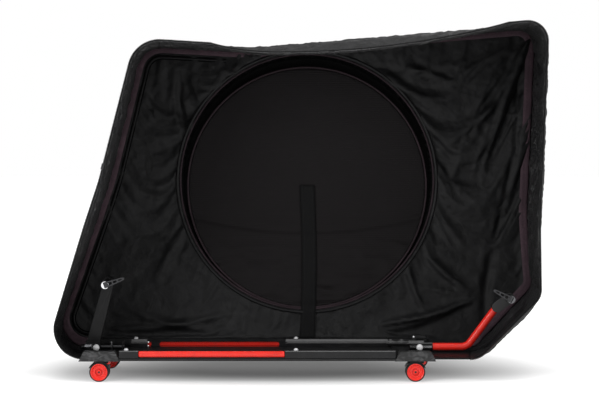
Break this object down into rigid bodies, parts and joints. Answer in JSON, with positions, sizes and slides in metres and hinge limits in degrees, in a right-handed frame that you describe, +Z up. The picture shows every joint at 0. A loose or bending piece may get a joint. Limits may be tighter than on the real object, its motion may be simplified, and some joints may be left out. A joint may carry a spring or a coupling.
{
  "type": "bike travel case",
  "caption": "Soft upright travel case for one bicycle on a caster base, side panel off, with wheel pocket, fork clamp and rear stand.",
  "frame": {"origin": "under the middle of the bounding box, on the floor that the casters stand on", "axes": "+Z up, +X towards the fork end, -Y towards the open side"},
  "size_m": [1.373, 0.517, 0.9818],
  "materials": {
    "black_nylon": "woven nylon, matt with a faint sheen",
    "brown_black_mesh": "fine mesh cloth over foam",
    "brown_binding": "folded seam binding",
    "black_webbing": "woven webbing",
    "black_zip_coil": "zip tape and coil",
    "red_paint": "glossy red paint",
    "black_anodised_rail": "black anodised",
    "marbled_bracket": "dark grey marbled",
    "black_plastic": "satin moulded",
    "red_plastic": "moulded red",
    "tyre_rubber": "matt",
    "silver_metal": "polished",
    "grey_metal": "satin"
  },
  "bodies": {
    "case": {"back_panel": "black_nylon", "back_seam_tape": "brown_binding", "bracket_far_front": "marbled_bracket", "bracket_far_rear": "marbled_bracket", "bracket_near_front": "marbled_bracket", "bracket_near_rear": "marbled_bracket", "far_bar": "red_paint", "far_rail": "black_anodised_rail", "floor_panel": "black_nylon", "fork_sleeve": "black_plastic", "front_cross_member": "black_anodised_rail", "front_end_panel": "black_nylon", "front_grab_handle": "black_webbing", "near_bar": "red_paint", "near_rail": "black_anodised_rail", "pocket_divider": "brown_black_mesh", "pocket_gusset": "black_nylon", "pocket_strap": "black_webbing", "pocket_zip": "black_zip_coil", "rail_screw_far_middle": "silver_metal", "rail_screw_far_rear": "silver_metal", "rail_screw_near_middle": "silver_metal", "rail_screw_near_rear": "silver_metal", "rear_cross_member": "black_anodised_rail", "rear_end_panel": "black_nylon", "rear_grab_handle": "black_webbing", "rear_guide_bar": "silver_metal", "rim_zip": "black_zip_coil", "toe_panel": "black_nylon", "top_panel": "black_nylon"},
    "caster_near_rear": {"caster_hood_near_rear": "black_plastic"},
    "wheels_near_rear": {"caster_hub_near_rear": "red_plastic", "caster_near_tyre_near_rear": "tyre_rubber", "caster_far_tyre_near_rear": "tyre_rubber"},
    "caster_near_front": {"caster_hood_near_front": "black_plastic"},
    "wheels_near_front": {"caster_hub_near_front": "red_plastic", "caster_near_tyre_near_front": "tyre_rubber", "caster_far_tyre_near_front": "tyre_rubber"},
    "caster_far_rear": {"caster_hood_far_rear": "black_plastic"},
    "wheels_far_rear": {"caster_hub_far_rear": "red_plastic", "caster_near_tyre_far_rear": "tyre_rubber", "caster_far_tyre_far_rear": "tyre_rubber"},
    "caster_far_front": {"caster_hood_far_front": "black_plastic"},
    "wheels_far_front": {"caster_hub_far_front": "red_plastic", "caster_near_tyre_far_front": "tyre_rubber", "caster_far_tyre_far_front": "tyre_rubber"},
    "fork_carriage": {"fork_tube": "red_paint", "fork_head": "black_plastic", "fork_axle": "silver_metal", "fork_skewer": "grey_metal"},
    "fork_lever": {"fork_cam_lever": "grey_metal"},
    "clamp_lever": {"sleeve_clamp_lever": "black_plastic"},
    "front_clamp_knob": {"front_knob": "silver_metal"},
    "rear_carriage": {"rear_stand": "black_anodised_rail", "rear_axle": "silver_metal"},
    "rear_lever": {"rear_cam_lever": "grey_metal"},
    "rear_clamp_knob": {"rear_knob": "silver_metal"},
    "rim_slider": {"rim_zip_slider": "grey_metal"},
    "pocket_slider": {"pocket_zip_slider": "grey_metal"},
    "pocket_flap": {"pocket_cover": "black_nylon"}
  },
  "joints": [
    {"name": "caster_swivel_near_rear", "type": "hinge", "parent": "case", "child": "caster_near_rear", "pos_m": [-0.52262, -0.1675, 0.056], "axis": [0, 0, 1], "continuous": true},
    {"name": "wheel_spin_near_rear", "type": "hinge", "parent": "caster_near_rear", "child": "wheels_near_rear", "pos_m": [-0.53712, -0.1675, 0.026], "axis": [0, 1, 0], "continuous": true},
    {"name": "caster_swivel_near_front", "type": "hinge", "parent": "case", "child": "caster_near_front", "pos_m": [0.32838, -0.1675, 0.056], "axis": [0, 0, 1], "continuous": true},
    {"name": "wheel_spin_near_front", "type": "hinge", "parent": "caster_near_front", "child": "wheels_near_front", "pos_m": [0.31388, -0.1675, 0.026], "axis": [0, 1, 0], "continuous": true},
    {"name": "caster_swivel_far_rear", "type": "hinge", "parent": "case", "child": "caster_far_rear", "pos_m": [-0.52262, 0.0825, 0.056], "axis": [0, 0, 1], "continuous": true},
    {"name": "wheel_spin_far_rear", "type": "hinge", "parent": "caster_far_rear", "child": "wheels_far_rear", "pos_m": [-0.53712, 0.0825, 0.026], "axis": [0, 1, 0], "continuous": true},
    {"name": "caster_swivel_far_front", "type": "hinge", "parent": "case", "child": "caster_far_front", "pos_m": [0.32838, 0.0825, 0.056], "axis": [0, 0, 1], "continuous": true},
    {"name": "wheel_spin_far_front", "type": "hinge", "parent": "caster_far_front", "child": "wheels_far_front", "pos_m": [0.34288, 0.0825, 0.026], "axis": [0, 1, 0], "continuous": true},
    {"name": "fork_slide", "type": "slide", "parent": "case", "child": "fork_carriage", "axis": [1, 0, 0], "range_m": [-0.08, 0]},
    {"name": "fork_lever_swing", "type": "hinge", "parent": "fork_carriage", "child": "fork_lever", "pos_m": [0.58352, -0.1046, 0.21267], "axis": [0.4741, 0, 0.8805], "range_deg": [0, 100]},
    {"name": "clamp_lever_swing", "type": "hinge", "parent": "case", "child": "clamp_lever", "pos_m": [0.31838, -0.0425, 0.105], "axis": [0, -1, 0], "range_deg": [0, 90]},
    {"name": "front_knob_turn", "type": "hinge", "parent": "case", "child": "front_clamp_knob", "pos_m": [0.33488, -0.0553, 0.0764], "axis": [0, 1, 0], "range_deg": [0, 720]},
    {"name": "rear_slide", "type": "slide", "parent": "case", "child": "rear_carriage", "axis": [1, 0, 0], "range_m": [-0.012, 0.03]},
    {"name": "rear_lever_swing", "type": "hinge", "parent": "rear_carriage", "child": "rear_lever", "pos_m": [-0.52862, -0.1228, 0.2545], "axis": [0.342, 0, -0.9397], "range_deg": [0, 100]},
    {"name": "rear_knob_turn", "type": "hinge", "parent": "rear_carriage", "child": "rear_clamp_knob", "pos_m": [-0.56062, -0.0558, 0.0764], "axis": [0, 1, 0], "range_deg": [0, 720]},
    {"name": "rim_slider_run", "type": "slide", "parent": "case", "child": "rim_slider", "axis": [0.2511, 0, 0.968], "range_m": [0, 0.26]},
    {"name": "pocket_slider_run", "type": "hinge", "parent": "case", "child": "pocket_slider", "pos_m": [0.02438, 0.2325, 0.533], "axis": [0, 1, 0], "range_deg": [0, 300]},
    {"name": "pocket_flap_fall", "type": "hinge", "parent": "case", "child": "pocket_flap", "pos_m": [0.02438, 0.2425, 0.1612], "axis": [-1, 0, 0], "range_deg": [0, 100]}
  ]
}
